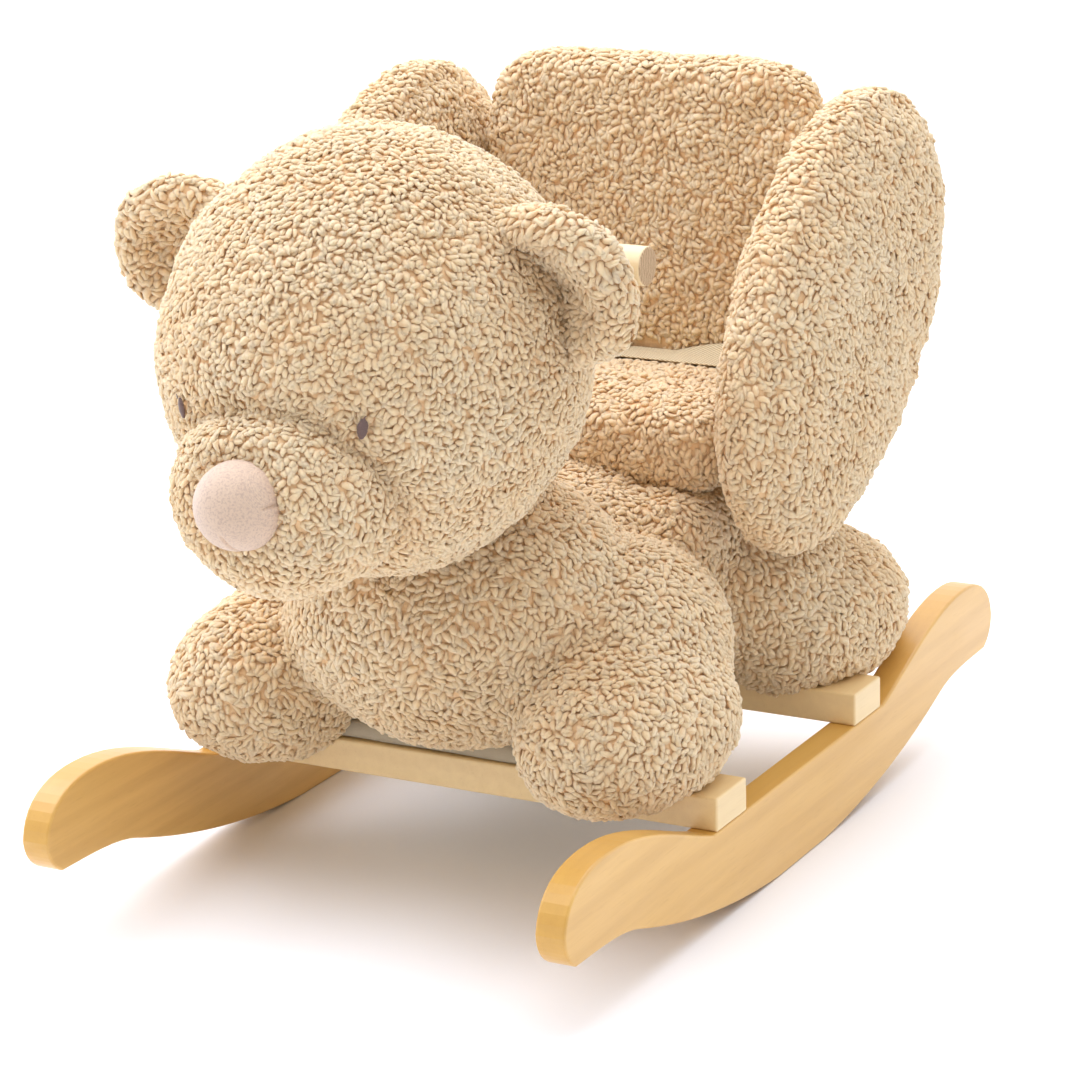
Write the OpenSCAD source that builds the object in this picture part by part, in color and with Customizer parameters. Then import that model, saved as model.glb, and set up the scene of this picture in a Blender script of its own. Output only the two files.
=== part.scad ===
// Plush bear rocker: a padded bear seat on two wooden rocking runners.
// +Z is up, the bear faces -Y, and the floor is z = 0.

/* [Runners] */
// Radius of the rocking arc under each runner
rock_r = 635; // [560:5:760]
// Overall width across the outer faces of the runners
base_w = 343; // [320:1:380]
// Thickness of each runner
runner_t = 18; // [15:1:22]
// Height of the flat middle of the runner's top edge
runner_mid_z = 56.5; // [50:0.5:58]
// Half length from the middle to the tip of a runner
runner_half = 297; // [292:1:305]

/* [Slats and base] */
// Width of a cross slat along the runner
slat_w = 38.7; // [34:0.1:44]
// Thickness of a cross slat
slat_t = 20; // [16:1:22]
// Distance from the middle to the centre of a slat
slat_y = 95.5; // [88:0.5:104]
// Width of the base board
board_w = 188; // [170:1:200]
// Thickness of the base board
board_t = 9; // [6:1:12]
// Thickness of the cotton cover on the base board
cover_t = 1.5; // [1:0.5:2]

/* [Head] */
// Distance from the runners' middle forward to the head's centre
head_y = 174; // [168:1:180]
// Height of the head's centre
head_z = 332; // [326:1:340]
// Half width of the head
head_rx = 115; // [108:1:120]
// Half length of the head, front to back
head_ry = 127; // [122:1:134]
// Half height of the head
head_rz = 122; // [116:1:128]
// Radius of the round nose
nose_r = 22; // [18:1:25]
// Radius of an ear
ear_r = 44; // [38:1:46]
// Diameter of the handlebar dowel
bar_d = 22; // [20:1:25]
// Half length of the handlebar
bar_half = 118; // [112:1:120]

/* [Body] */
// Half width of the body
body_rx = 106; // [98:1:108]
// Distance out to the centre of each leg
leg_x = 115; // [112:1:118]
// Half width of a leg
leg_rx = 57; // [50:1:58]
// Half length of a leg
leg_ry = 84; // [76:1:88]
// Half height of a leg
leg_rz = 51; // [46:1:53]

/* [Seat] */
// Height of the top of the seat cushion
seat_top = 260; // [254:1:264]
// Thickness of the seat cushion
seat_t = 58; // [52:1:62]
// Half width of the seat cushion
seat_hw = 108; // [98:1:111]
// Thickness of the padded backrest
back_t = 50; // [42:1:56]
// Height of the backrest above the seat
back_h = 174; // [160:1:190]
// Backward lean of the backrest, degrees
back_lean = 1; // [0:0.5:4]
// Thickness of a side wing
wing_t = 61; // [54:1:64]

/* [Belt] */
// Width of the lap belt webbing
belt_w = 25; // [20:1:28]
// Thickness of the webbing
belt_t = 1.6; // [1.2:0.1:2]

/* [Hidden] */

// Fineness of the true curves and of the soft faceted shapes.
$fn = 64;
soft_fn = 24;
// Space kept between neighbouring soft pieces.
gap = 0.6;

// The nose reaches furthest forward and the runner tips furthest back,
// so the whole model is moved to put the origin midway between them.
muzzle_c = [0, -268, 279];
muzzle_r = [63, 64, 58];
nose_h = 11;
nose_z = 283;
front_reach = muzzle_c.y - muzzle_r.y - gap - nose_h;
shift_y = -(front_reach + runner_half) / 2;

slat_x = base_w / 2;
slat_top = runner_mid_z + slat_t;
deck_z = slat_top + board_t + 2 * cover_t;
seat_z = seat_top - seat_t;
seat_y0 = 14;
seat_y1 = 138;
seat_board_t = 12;
ply = 12;
head_c = [0, -head_y, head_z];
bar_c = [0, -81, 368];
ear_c = [118, -182, 383];
wing_c = [0, 95, 303];
wing_long = 147;
wing_wide = 107;
wing_lean = 48;
wing_x = 119;
belt_y = 124;
buckle_z = seat_top + 2.4;
plug_x = -61.5;

wood_pale = [0.90, 0.82, 0.68];
wood_warm = [0.85, 0.68, 0.42];
plush = [0.88, 0.77, 0.62];

// A cubic curve through four control points, in n steps, last point left off.
function bezier(a, b, c, d, n) =
    [for (i = [0 : n - 1]) let (t = i / n, s = 1 - t)
        a * s * s * s + b * 3 * s * s * t + c * 3 * s * t * t + d * t * t * t];

// Height of the rocking arc's sole at a distance y from the middle. A flat in
// the middle, under a millimetre deep, lets the rocker stand still when empty.
sole_flat = 32;
sole_step = 12;
function arc_rise(y) =
    sqrt(rock_r * rock_r - sole_flat * sole_flat) - sqrt(rock_r * rock_r - y * y);

// Half of the runner's outline, from the middle of the sole round the tip
// and back along the top edge; the other half is its mirror image.
function runner_half_points() =
    let (arc_end = 210,
         arc_z = arc_rise(arc_end),
         slope = arc_end / (rock_r - arc_z),
         tip = runner_half,
         flats = [for (y = [sole_flat : sole_step : arc_end - 1]) [y, arc_rise(y)]],
         toe = bezier([arc_end, arc_z], [arc_end + 20, arc_z + 20 * slope],
                      [tip - 42, 41.5], [tip - 13, 42], 8),
         tip_low = bezier([tip - 13, 42], [tip - 5, 46], [tip, 53], [tip, 62], 8),
         tip_high = bezier([tip, 62], [tip - 3, 84], [tip - 24, 92.5], [tip - 52, 92], 10),
         rise = bezier([tip - 52, 92], [tip - 97, 92], [150, 66], [119, runner_mid_z], 14))
    concat(flats, toe, tip_low, tip_high, rise, [[119, runner_mid_z]]);

module runner_profile() {
    half = runner_half_points();
    last = len(half) - 1;
    polygon(concat(half, [for (i = [last : -1 : 0]) [-half[i].x, half[i].y]]));
}

module runner_plate() {
    rotate([90, 0, 90])
        linear_extrude(runner_t) runner_profile();
}

// Two screws hold each runner to each slat. They are driven up from below,
// through a counterbore in the runner, so that none shows from above.
runner_screw_x = base_w / 2 - runner_t / 2;
bore_top = 24;
module at_runner_screws(sides = [-1, 1]) {
    for (s = sides, e = [-1, 1], d = [-9, 9])
        translate([s * runner_screw_x, e * slat_y + d, 0]) children();
}

module runner_screw_shape() {
    translate([0, 0, bore_top]) cylinder(d1 = 8.4, d2 = 4, h = 2.2);
    translate([0, 0, bore_top]) cylinder(d = 4, h = 45);
}
module runner_bore_shape() {
    translate([0, 0, -1]) cylinder(d = 9, h = bore_top + 1);
}

// Screws that hold the base board down, driven up from below the slats.
module at_base_screws() {
    for (s = [-1, 1], e = [-1, 1])
        translate([s * 70, e * slat_y, 0]) children();
}

module base_screw_shape() {
    translate([0, 0, runner_mid_z]) cylinder(d1 = 8.4, d2 = 4, h = 2.2);
    translate([0, 0, runner_mid_z]) cylinder(d = 4, h = 28);
}

module runner_at(side) {
    color(wood_warm)
        translate([0, shift_y, 0])
            difference() {
                translate([side > 0 ? base_w / 2 - runner_t : -base_w / 2, 0, 0]) runner_plate();
                at_runner_screws([side]) {
                    runner_screw_shape();
                    runner_bore_shape();
                }
            }
}
module runner_left() { runner_at(1); }
module runner_right() { runner_at(-1); }

module slat_at(e) {
    color(wood_pale)
        translate([0, shift_y, 0])
            difference() {
                translate([-slat_x, e * slat_y - slat_w / 2, runner_mid_z])
                    cube([2 * slat_x, slat_w, slat_t]);
                at_runner_screws() runner_screw_shape();
                at_base_screws() base_screw_shape();
            }
}
module slat_front() { slat_at(-1); }
module slat_rear() { slat_at(1); }

module runner_screws() {
    color("silver") translate([0, shift_y, 0]) at_runner_screws() runner_screw_shape();
}
module base_screws() {
    color("silver") translate([0, shift_y, 0]) at_base_screws() base_screw_shape();
}

// The board is wholly inside its cotton cover.
board_l = 2 * (slat_y + slat_w / 2) - 6;
module base_box(grow) {
    translate([-board_w / 2 - grow, -board_l / 2 - grow, slat_top + cover_t - grow])
        cube([board_w + 2 * grow, board_l + 2 * grow, board_t + 2 * grow]);
}
module base_board() {
    color(wood_pale)
        translate([0, shift_y, 0])
            difference() {
                base_box(0);
                at_base_screws() base_screw_shape();
            }
}
module base_cover() {
    color([0.88, 0.85, 0.78])
        translate([0, shift_y, 0])
            difference() {
                base_box(cover_t);
                base_box(0);
                at_base_screws() base_screw_shape();
            }
}

// Two upright boards carry the seat board above the base.
upright_x = 51.8;
upright_y0 = 24;
upright_y1 = 150;
seat_board_z = seat_z - seat_board_t;
module upright_box(side) {
    translate([side * upright_x - ply / 2, upright_y0, deck_z])
        cube([ply, upright_y1 - upright_y0, seat_board_z - deck_z]);
}
module upright_at(side) {
    color(wood_pale)
        translate([0, shift_y, 0])
            difference() {
                upright_box(side);
                at_seat_screws() seat_screw_shape();
            }
}
module upright_left() { upright_at(1); }
module upright_right() { upright_at(-1); }

module at_seat_screws() {
    for (s = [-1, 1], y = [50, 120]) translate([s * upright_x, y, 0]) children();
}
module seat_screw_shape() {
    translate([0, 0, seat_z - 34]) cylinder(d = 4, h = 34);
    translate([0, 0, seat_z - 2.2]) cylinder(d1 = 4, d2 = 8.4, h = 2.2);
}
module seat_screws() {
    color("silver") translate([0, shift_y, 0]) at_seat_screws() seat_screw_shape();
}

module seat_board_box() {
    translate([-92, seat_y0 + 4, seat_board_z]) cube([184, 164, seat_board_t]);
}
module seat_board() {
    color(wood_pale)
        translate([0, shift_y, 0])
            difference() {
                seat_board_box();
                at_seat_screws() seat_screw_shape();
            }
}

// The post stands on the base board and carries the handlebar in the head.
post_w = 60;
post_t = 30;
post_top = 20;
module post_box() {
    translate([-post_w / 2, bar_c.y - post_t / 2, deck_z])
        cube([post_w, post_t, bar_c.z + post_top - deck_z]);
}
module bar_shape(extra = 0) {
    translate([-bar_half - extra, bar_c.y, bar_c.z])
        rotate([0, 90, 0]) cylinder(d = bar_d, h = 2 * (bar_half + extra));
}
module head_post() {
    color(wood_pale)
        translate([0, shift_y, 0])
            difference() {
                post_box();
                bar_shape(1);
            }
}

// The dowel's ends are eased with a small round.
module handlebar() {
    ease = 1.5;
    color(wood_pale)
        translate([0, shift_y, 0])
            translate([-bar_half, bar_c.y, bar_c.z])
                rotate([0, 90, 0])
                    rotate_extrude()
                        union() {
                            translate([0, ease]) square([bar_d / 2, 2 * bar_half - 2 * ease]);
                            square([bar_d / 2 - ease, 2 * bar_half]);
                            for (z = [ease, 2 * bar_half - ease])
                                translate([bar_d / 2 - ease, z]) circle(r = ease, $fn = 24);
                        }
}

// A soft egg shape, larger by grow all round.
module egg(c, r, grow = 0, turn = [0, 0, 0]) {
    translate(c) rotate(turn)
        scale([r.x + grow, r.y + grow, r.z + grow]) sphere(r = 1, $fn = soft_fn);
}

module head_shape(grow = 0) { egg(head_c, [head_rx, head_ry, head_rz], grow); }
module muzzle_shape(grow = 0) { egg(muzzle_c, muzzle_r, grow); }

module leg_shape(sx, front, grow = 0) {
    y = front ? -110 : 132;
    z = front ? 112 : 106;
    egg([sx * leg_x, y, z], [leg_rx, leg_ry, leg_rz], grow);
}

// The chest is deep under the head and the body lowers towards the rump.
module body_shape() {
    hull() {
        egg([0, -92, 163], [body_rx, 98, 81]);
        egg([0, 108, 145], [body_rx, 88, 60]);
    }
}

// Everything below the seat that the plush rests on.
module base_space() {
    translate([-base_w, -slat_y - slat_w / 2 - gap, 0])
        cube([2 * base_w, 2 * slat_y + slat_w + 2 * gap, slat_top + gap]);
    translate([-board_w / 2 - cover_t - gap, -board_l / 2 - cover_t - gap, 0])
        cube([board_w + 2 * (cover_t + gap), board_l + 2 * (cover_t + gap), deck_z + gap]);
}

module runner_space() {
    for (s = [-1, 1])
        translate([s > 0 ? base_w / 2 - runner_t - gap : -base_w / 2 - gap, 0, 0])
            rotate([90, 0, 90])
                linear_extrude(runner_t + 2 * gap) translate([0, 1]) runner_profile();
}

module body() {
    color(plush)
        translate([0, shift_y, 0])
            difference() {
                body_shape();
                head_shape(gap);
                for (s = [-1, 1], f = [true, false]) leg_shape(s, f, gap);
                base_space();
                for (s = [-1, 1]) upright_box(s);
                seat_board_box();
                post_box();
                translate([-seat_hw - 8, seat_y0 - gap, seat_z])
                    cube([2 * seat_hw + 16, 300, 200]);
            }
}

module leg_at(sx, front) {
    color(plush)
        translate([0, shift_y, 0])
            difference() {
                leg_shape(sx, front);
                base_space();
                runner_space();
            }
}
module leg_front_left() { leg_at(1, true); }
module leg_front_right() { leg_at(-1, true); }
module leg_rear_left() { leg_at(1, false); }
module leg_rear_right() { leg_at(-1, false); }

module head() {
    color(plush)
        translate([0, shift_y, 0])
            difference() {
                head_shape();
                muzzle_shape(gap);
                post_box();
                bar_shape(1);
            }
}

module muzzle() {
    color(plush) translate([0, shift_y, 0]) muzzle_shape();
}

// The nose is a low dome on the front of the muzzle.
module nose() {
    dome_r = (nose_r * nose_r + nose_h * nose_h) / (2 * nose_h);
    color([0.87, 0.76, 0.71])
        translate([0, shift_y + front_reach + nose_h, nose_z])
            rotate([90, 0, 0])
                rotate_extrude()
                    intersection() {
                        translate([0, nose_h - dome_r]) circle(r = dome_r);
                        square([nose_r, nose_h]);
                    }
}

// A thick round ear, standing on the side of the head.
module ear_right() {
    color(plush)
        translate([0, shift_y, 0])
            difference() {
                hull() egg([-ear_c.x, ear_c.y, ear_c.z], [ear_r, 15, ear_r]);
                head_shape(gap);
            }
}
module ear_left() { mirror([1, 0, 0]) ear_right(); }

// Two small embroidered ovals lie on the front of the head.
eye_x = 55;
eye_z = 321;
eye_r = 3;
module eyes() {
    side = eye_x / head_rx;
    rise = (eye_z - head_z) / head_rz;
    front = sqrt(1 - side * side - rise * rise);
    out = [side / head_rx, -front / head_ry, rise / head_rz];
    color([0.41, 0.31, 0.29])
        translate([0, shift_y, 0])
            for (s = [-1, 1])
                translate([s * eye_x, head_c.y - head_ry * front, eye_z])
                    rotate([0, acos(out.z / norm(out)), atan2(out.y, s * out.x)])
                        translate([0, 0, 0.4])
                            union() {
                                for (d = [-1.8, 1.8])
                                    translate([d, 0, 0]) cylinder(r = eye_r, h = 1.6);
                                translate([-1.8, -eye_r, 0]) cube([3.6, 2 * eye_r, 1.6]);
                            }
}

// A cushion with rounded corners in plan.
module cushion(w, l, h, r) {
    translate([-w / 2 + r, 0, 0]) cube([w - 2 * r, l, h]);
    translate([-w / 2, r, 0]) cube([w, l - 2 * r, h]);
    for (x = [-w / 2 + r, w / 2 - r], y = [r, l - r])
        translate([x, y, 0]) cylinder(r = r, h = h);
}

module seat_cushion() {
    color(plush)
        translate([0, shift_y, 0])
            translate([0, seat_y0, seat_z])
                cushion(2 * seat_hw, seat_y1 - seat_y0, seat_t, 24);
}

// The backrest stands behind the seat cushion and leans back.
back_hw = 107;
back_y = 140;
module on_backrest() {
    translate([0, back_y, seat_z]) rotate([-back_lean, 0, 0]) children();
}
module back_board_box() {
    translate([-back_hw + 18, back_t / 2 - ply / 2, 6])
        cube([2 * back_hw - 36, ply, seat_t + back_h - 26]);
}
module backrest_board() {
    color(wood_pale) translate([0, shift_y, 0]) on_backrest() back_board_box();
}
module backrest_cushion() {
    full_h = seat_t + back_h;
    color(plush)
        translate([0, shift_y, 0])
            on_backrest()
                difference() {
                    translate([0, back_t, 1]) rotate([90, 0, 0])
                        linear_extrude(back_t)
                            union() {
                                translate([-back_hw, 0]) square([2 * back_hw, full_h - 40]);
                                translate([-back_hw + 40, 0])
                                    square([2 * back_hw - 80, full_h]);
                                for (s = [-1, 1])
                                    translate([s * (back_hw - 40), full_h - 40])
                                        circle(r = 40);
                            }
                    back_board_box();
                }
}

// A wing is a thick padded oval leaning back beside the seat.
wing_edge = 28;
module wing_shape() {
    mid = wing_x + wing_t / 2;
    hull()
        for (a = [0 : 30 : 330], d = [-1, 1])
            translate([-mid - d * (wing_t / 2 - wing_edge), wing_c.y, wing_c.z])
                rotate([-wing_lean, 0, 0])
                    translate([0, (wing_wide - wing_edge) * cos(a), (wing_long - wing_edge) * sin(a)])
                        sphere(r = wing_edge, $fn = 16);
}
module wing_board_box() {
    translate([-wing_x - wing_t / 2 - ply / 2, wing_c.y, wing_c.z])
        rotate([-wing_lean, 0, 0])
            translate([0, -60, -70]) cube([ply, 120, 140]);
}
module wing_board_right() {
    color(wood_pale) translate([0, shift_y, 0]) wing_board_box();
}
module wing_board_left() { mirror([1, 0, 0]) wing_board_right(); }
module wing_right() {
    color(plush)
        translate([0, shift_y, 0])
            difference() {
                wing_shape();
                wing_board_box();
            }
}
module wing_left() { mirror([1, 0, 0]) wing_right(); }

// The long side of the belt lies across the seat and drops beside it.
belt_drop_x = seat_hw + 2.5;
module belt_run(x0, x1, side) {
    translate([x0, belt_y - belt_w / 2, seat_top + 0.3]) cube([x1 - x0, belt_w, belt_t]);
    translate([side > 0 ? belt_drop_x : -belt_drop_x - belt_t, belt_y - belt_w / 2, seat_top - 46])
        cube([belt_t, belt_w, 46.3 + belt_t]);
}
module belt_left() {
    color([0.88, 0.82, 0.71])
        translate([0, shift_y, 0]) belt_run(plug_x + 17, belt_drop_x + belt_t, 1);
}
module belt_right() {
    color([0.88, 0.82, 0.71])
        translate([0, shift_y, 0]) belt_run(-belt_drop_x - belt_t, plug_x - 30, -1);
}
// The adjusting tail doubles back over the belt and moves with the plug.
module belt_tail() {
    color([0.88, 0.82, 0.71])
        translate([0, shift_y, 0])
            translate([plug_x + 14, belt_y - belt_w / 2, buckle_z + 0.2])
                cube([44, belt_w, belt_t]);
}

buckle_w = 34;
buckle_l = 29;
buckle_h = 9;
prong_l = 20;
module buckle_socket() {
    color([0.86, 0.82, 0.74])
        translate([0, shift_y, 0])
            difference() {
                translate([plug_x - buckle_l, belt_y - buckle_w / 2, buckle_z])
                    cube([buckle_l - 0.4, buckle_w, buckle_h]);
                translate([plug_x - prong_l - 2, belt_y - 13, buckle_z + 2])
                    cube([prong_l + 4, 26, buckle_h - 4]);
            }
}
module buckle_plug() {
    color([0.86, 0.82, 0.74])
        translate([0, shift_y, 0])
            union() {
                translate([plug_x, belt_y - buckle_w / 2 + 1, buckle_z + 0.2])
                    cube([14, buckle_w - 2, buckle_h - 0.4]);
                for (s = [-1, 1])
                    translate([plug_x - prong_l, belt_y + s * 9 - 2.5, buckle_z + 2.5])
                        cube([prong_l + 1, 5, buckle_h - 5]);
            }
}

runner_left();
runner_right();
slat_front();
slat_rear();
runner_screws();
base_screws();
base_board();
base_cover();
upright_left();
upright_right();
head_post();
handlebar();
seat_board();
seat_screws();
backrest_board();
wing_board_left();
wing_board_right();
body();
leg_front_left();
leg_front_right();
leg_rear_left();
leg_rear_right();
head();
muzzle();
nose();
ear_left();
ear_right();
eyes();
seat_cushion();
backrest_cushion();
wing_left();
wing_right();
belt_left();
belt_right();
belt_tail();
buckle_socket();
buckle_plug();
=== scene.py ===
"""The looks of the plush bear rocker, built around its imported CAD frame.

Units are metres, +Z is up and the bear faces -Y. Every soft piece is a stuffed
shell with a sherpa pile on it: thousands of small curled tufts of real geometry.
"""
import math

import bmesh
import bpy
import numpy as np
from mathutils import Matrix, Vector, noise
from mathutils.bvhtree import BVHTree
from mathutils.kdtree import KDTree


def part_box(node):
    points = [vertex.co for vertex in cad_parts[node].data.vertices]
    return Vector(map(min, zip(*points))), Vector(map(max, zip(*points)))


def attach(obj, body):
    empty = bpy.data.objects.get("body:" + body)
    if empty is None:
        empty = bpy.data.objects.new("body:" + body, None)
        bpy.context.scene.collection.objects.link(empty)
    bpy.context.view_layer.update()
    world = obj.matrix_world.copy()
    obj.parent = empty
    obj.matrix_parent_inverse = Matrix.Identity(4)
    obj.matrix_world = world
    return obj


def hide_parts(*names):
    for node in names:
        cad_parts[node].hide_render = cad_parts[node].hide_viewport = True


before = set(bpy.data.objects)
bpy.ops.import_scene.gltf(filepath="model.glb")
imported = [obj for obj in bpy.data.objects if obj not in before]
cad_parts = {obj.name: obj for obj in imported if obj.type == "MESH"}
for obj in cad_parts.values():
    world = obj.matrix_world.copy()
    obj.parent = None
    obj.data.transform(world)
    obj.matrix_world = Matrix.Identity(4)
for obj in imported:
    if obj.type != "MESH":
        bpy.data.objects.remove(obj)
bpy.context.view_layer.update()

MM = 0.001
BODY = "rocker"
PLUG_BODY = "belt_plug"
PILE_MAX_TUFTS = 6400      # a pile piece holds at most this many tufts
PILE_DEPTH = 1.6 * MM      # how far the tufts stand proud of a shell
RESTING = ["slat_front", "slat_rear", "runner_left", "runner_right", "base_cover"]

scene = bpy.context.scene


# ---------------------------------------------------------------- frame

def middle(node):
    low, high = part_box(node)
    return (low + high) / 2


def half(node):
    low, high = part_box(node)
    return (high - low) / 2


MID_Y = (middle("slat_front").y + middle("slat_rear").y) / 2


def at(x, y, z):
    """A point given in millimetres from the runners' middle."""
    return Vector((x, y, z)) * MM + Vector((0, MID_Y, 0))


# ---------------------------------------------------------------- meshes

def new_piece(name, verts, faces):
    mesh = bpy.data.meshes.new(name)
    mesh.from_pydata([tuple(v) for v in verts], [], [tuple(f) for f in faces])
    mesh.update()
    piece = bpy.data.objects.new(name, mesh)
    scene.collection.objects.link(piece)
    return piece


def from_bmesh(name, bm):
    mesh = bpy.data.meshes.new(name)
    bm.to_mesh(mesh)
    bm.free()
    piece = bpy.data.objects.new(name, mesh)
    scene.collection.objects.link(piece)
    return piece


def coords(piece):
    out = np.empty(len(piece.data.vertices) * 3)
    piece.data.vertices.foreach_get("co", out)
    return out.reshape(-1, 3)


def set_coords(piece, co):
    piece.data.vertices.foreach_set("co", np.asarray(co, float).ravel())
    piece.data.update()


def normals(piece):
    out = np.empty(len(piece.data.vertices) * 3)
    piece.data.vertices.foreach_get("normal", out)
    return out.reshape(-1, 3)


def apply_modifiers(piece):
    depsgraph = bpy.context.evaluated_depsgraph_get()
    depsgraph.update()
    final = bpy.data.meshes.new_from_object(piece.evaluated_get(depsgraph))
    piece.modifiers.clear()
    piece.data = final
    return piece


def smooth_shading(piece):
    piece.data.polygons.foreach_set("use_smooth", [True] * len(piece.data.polygons))
    piece.data.update()
    return piece


def remesh(piece, voxel, relax=4):
    """One even closed skin around everything in the piece, its creases relaxed."""
    skin = piece.modifiers.new("skin", "REMESH")
    skin.mode = "VOXEL"
    skin.voxel_size = voxel
    if relax:
        ease = piece.modifiers.new("ease", "SMOOTH")
        ease.factor = 0.5
        ease.iterations = relax
    return apply_modifiers(piece)


def subdivide(piece, levels=1):
    sub = piece.modifiers.new("sub", "SUBSURF")
    sub.levels = sub.render_levels = levels
    return apply_modifiers(piece)


def ball_into(bm, centre, radii, subdivisions=5):
    place = Matrix.Translation(centre) @ Matrix.Diagonal((*radii, 1))
    bmesh.ops.create_icosphere(bm, subdivisions=subdivisions, radius=1, matrix=place)


def balls(name, shapes, voxel=None, relax=4):
    """Soft ellipsoids, each (centre, radii), merged into one skin where voxel is given."""
    bm = bmesh.new()
    for centre, radii in shapes:
        ball_into(bm, centre, radii)
    piece = from_bmesh(name, bm)
    return remesh(piece, voxel, relax) if voxel else piece


def lump(piece, size, depth, seed):
    """Uneven stuffing: the surface swells and sinks in soft lumps of about that size."""
    co, no = coords(piece), normals(piece)
    shift = Vector((seed * 7.3, seed * 3.1, seed * 5.7))
    push = np.array([noise.noise(Vector(p) / size + shift) for p in co])
    set_coords(piece, co + no * (push * depth)[:, None])
    return piece


def inflate(piece, pressure=4.0, cap=8 * MM, held=None, frames=20):
    """Stuffs a closed cloth shell by simulation; no point moves further than cap."""
    rest = coords(piece)
    cloth = piece.modifiers.new("stuffing", "CLOTH")
    cloth.settings.use_pressure = True
    cloth.settings.uniform_pressure_force = pressure
    cloth.settings.effector_weights.gravity = 0
    cloth.settings.quality = 5
    cloth.collision_settings.use_collision = False
    if held is not None:
        group = piece.vertex_groups.new(name="held")
        for i in np.nonzero(held)[0]:
            group.add([int(i)], 1.0, "ADD")
        cloth.settings.vertex_group_mass = "held"
    cloth.point_cache.frame_start = 1
    cloth.point_cache.frame_end = frames
    for f in range(1, frames + 1):
        scene.frame_set(f)
    depsgraph = bpy.context.evaluated_depsgraph_get()
    puffed = piece.evaluated_get(depsgraph)
    out = np.empty(len(rest) * 3)
    puffed.data.vertices.foreach_get("co", out)
    moved = out.reshape(-1, 3) - rest
    far = np.linalg.norm(moved, axis=1, keepdims=True)
    moved *= np.minimum(1, cap / np.maximum(far, 1e-9))
    piece.modifiers.clear()
    scene.frame_set(1)
    set_coords(piece, rest + moved)
    return piece


# ---------------------------------------------------------------- resting on the wood

def tree_of(*pieces):
    verts, faces = [], []
    for piece in pieces:
        base = len(verts)
        verts += [v.co.copy() for v in piece.data.vertices]
        faces += [[base + i for i in p.vertices] for p in piece.data.polygons]
    return BVHTree.FromPolygons(verts, faces)


WOOD_TREE = tree_of(*[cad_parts[n] for n in RESTING])
SKY = 1.0


def wood_height(x, y):
    """Height of the wood straight below a point, or None beside it."""
    hit = WOOD_TREE.ray_cast(Vector((x, y, SKY)), Vector((0, 0, -1)))[0]
    return None if hit is None else hit.z


def settle(piece, clearance=0.8 * MM):
    """Flattens the underside where it lies on the slats, runners and base."""
    co = coords(piece)
    for i, (x, y, z) in enumerate(co):
        top = wood_height(x, y)
        if top is not None and z < top + clearance:
            co[i, 2] = top + clearance
    set_coords(piece, co)
    return piece


# ---------------------------------------------------------------- sherpa pile

RINGS = (0.16, 0.52, 0.86)         # places of a tuft's rings, from root to tip
RING_WIDE = (0.74, 1.0, 0.70)
RING_LIFT = (0.30, 0.85, 0.95)
POLE_LIFT = (-0.3, 0.70)
SIDES = 5
CAP = 1                            # material index of faces hidden inside a joint


def scatter(shell, spacing, rng):
    """Evenly spread points on a shell, at least spacing apart, with their normals."""
    mesh = shell.data
    mesh.calc_loop_triangles()
    tri = np.empty(len(mesh.loop_triangles) * 3, int)
    mesh.loop_triangles.foreach_get("vertices", tri)
    tri = tri.reshape(-1, 3)
    which = np.empty(len(tri), int)
    mesh.loop_triangles.foreach_get("material_index", which)
    tri = tri[which != CAP]
    co, no = coords(shell), normals(shell)
    a, b, c = co[tri[:, 0]], co[tri[:, 1]], co[tri[:, 2]]
    area = np.linalg.norm(np.cross(b - a, c - a), axis=1) / 2
    count = int(area.sum() / spacing ** 2 * 3.0)
    pick = rng.choice(len(tri), count, p=area / area.sum())
    u, v = rng.random((2, count))
    over = u + v > 1
    u[over], v[over] = 1 - u[over], 1 - v[over]
    w = 1 - u - v
    mix = lambda data: (data[tri[pick, 0]] * w[:, None] + data[tri[pick, 1]] * u[:, None]
                        + data[tri[pick, 2]] * v[:, None])
    points, aims = mix(co), mix(no)
    tree = KDTree(count)
    for i, p in enumerate(points):
        tree.insert(p, i)
    tree.balance()
    alive = np.ones(count, bool)
    kept = []
    for i in range(count):
        if alive[i]:
            kept.append(i)
            for _, j, _ in tree.find_range(points[i], spacing):
                alive[j] = False
    aims = aims[kept]
    return points[kept], aims / np.linalg.norm(aims, axis=1, keepdims=True)


def clear_of(points, trees, depth=1.5 * MM):
    """True for each point that isn't buried in one of the neighbours."""
    keep = np.ones(len(points), bool)
    for tree in trees:
        for i in np.nonzero(keep)[0]:
            near, aim, _, far = tree.find_nearest(Vector(points[i]))
            if far > depth and (Vector(points[i]) - near).dot(aim) < 0:
                keep[i] = False
    return keep


def off_the_wood(points, gap=1.8 * MM):
    keep = np.ones(len(points), bool)
    for i, (x, y, z) in enumerate(points):
        top = wood_height(x, y)
        keep[i] = top is None or z > top + gap
    return keep


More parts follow.
